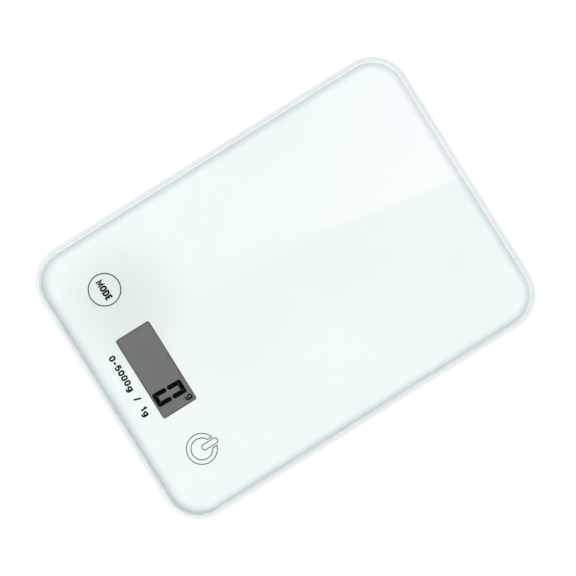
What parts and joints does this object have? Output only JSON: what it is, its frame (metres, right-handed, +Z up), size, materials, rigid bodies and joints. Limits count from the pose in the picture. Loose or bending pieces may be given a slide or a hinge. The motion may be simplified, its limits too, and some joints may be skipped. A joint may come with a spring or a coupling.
{
  "type": "kitchen scale",
  "caption": "Slim electronic kitchen scale with a rectangular glass weighing platform, a display and touch keys under the glass, and load cells in its feet.",
  "frame": {"origin": "centre of the footprint on the table", "axes": "+X to the user's right, +Y away from the user along the length, +Z up; the display is at the -Y end"},
  "size_m": [0.16, 0.22, 0.018],
  "materials": {
    "glass": "clear tempered glass with polished edges",
    "back_print": "opaque white screen print",
    "tape": "foam bonding tape",
    "housing": "pale moulded ABS with a fine texture",
    "lcd": "grey reflective liquid crystal panel",
    "black_plastic": "black moulded plastic",
    "circuit_board": "green solder mask on glass fibre",
    "rubber": "soft grey rubber",
    "white_plastic": "white moulded plastic",
    "battery_jacket": "printed foil jacket, with no marks",
    "label": "blank silver label film",
    "red_insulation": "red wire insulation",
    "black_insulation": "black wire insulation",
    "white_insulation": "white wire insulation",
    "steel": "plain sheet steel",
    "spring_steel": "nickel-plated spring steel"
  },
  "bodies": {
    "scale_body": {"glass_platform": "glass", "back_print": "back_print", "bonding_tape": "tape", "housing": "housing", "rating_label": "label", "lcd_panel": "lcd", "lcd_frame": "black_plastic", "lcd_connector": "rubber", "main_board": "circuit_board", "controller_chip": "black_plastic", "touch_spring_unit": "spring_steel", "touch_spring_power": "spring_steel", "board_screw_1": "steel", "board_screw_2": "steel", "board_screw_3": "steel", "board_screw_4": "steel", "battery_front": "battery_jacket", "battery_back": "battery_jacket", "contact_negative": "spring_steel", "contact_positive": "spring_steel", "contact_bridge": "spring_steel", "gauge_lead_front_left": "white_insulation", "gauge_lead_front_right": "white_insulation", "gauge_lead_back_left": "white_insulation", "gauge_lead_back_right": "white_insulation", "battery_lead_negative": "black_insulation", "battery_lead_positive": "red_insulation"},
    "front_left_foot": {"foot_cup_front_left": "housing", "foot_pad_front_left": "rubber", "load_cell_front_left": "steel", "strain_gauge_front_left": "white_plastic"},
    "front_right_foot": {"foot_cup_front_right": "housing", "foot_pad_front_right": "rubber", "load_cell_front_right": "steel", "strain_gauge_front_right": "white_plastic"},
    "back_left_foot": {"foot_cup_back_left": "housing", "foot_pad_back_left": "rubber", "load_cell_back_left": "steel", "strain_gauge_back_left": "white_plastic"},
    "back_right_foot": {"foot_cup_back_right": "housing", "foot_pad_back_right": "rubber", "load_cell_back_right": "steel", "strain_gauge_back_right": "white_plastic"},
    "battery_door": {"battery_door": "housing"}
  },
  "joints": [
    {"name": "front_left_foot_press", "type": "slide", "parent": "scale_body", "child": "front_left_foot", "axis": [0, 0, 1], "range_m": [0, 0.0005], "stiffness_N_per_m": 20000, "deforming": ["load_cell_front_left", "gauge_lead_front_left"]},
    {"name": "front_right_foot_press", "type": "slide", "parent": "scale_body", "child": "front_right_foot", "axis": [0, 0, 1], "range_m": [0, 0.0005], "stiffness_N_per_m": 20000, "deforming": ["load_cell_front_right", "gauge_lead_front_right"]},
    {"name": "back_left_foot_press", "type": "slide", "parent": "scale_body", "child": "back_left_foot", "axis": [0, 0, 1], "range_m": [0, 0.0005], "stiffness_N_per_m": 20000, "deforming": ["load_cell_back_left", "gauge_lead_back_left"]},
    {"name": "back_right_foot_press", "type": "slide", "parent": "scale_body", "child": "back_right_foot", "axis": [0, 0, 1], "range_m": [0, 0.0005], "stiffness_N_per_m": 20000, "deforming": ["load_cell_back_right", "gauge_lead_back_right"]},
    {"name": "battery_door_hinge", "type": "hinge", "parent": "scale_body", "child": "battery_door", "pos_m": [-0.0305, -0.038, 0.0032], "axis": [0, 1, 0], "range_deg": [0, 90]}
  ]
}
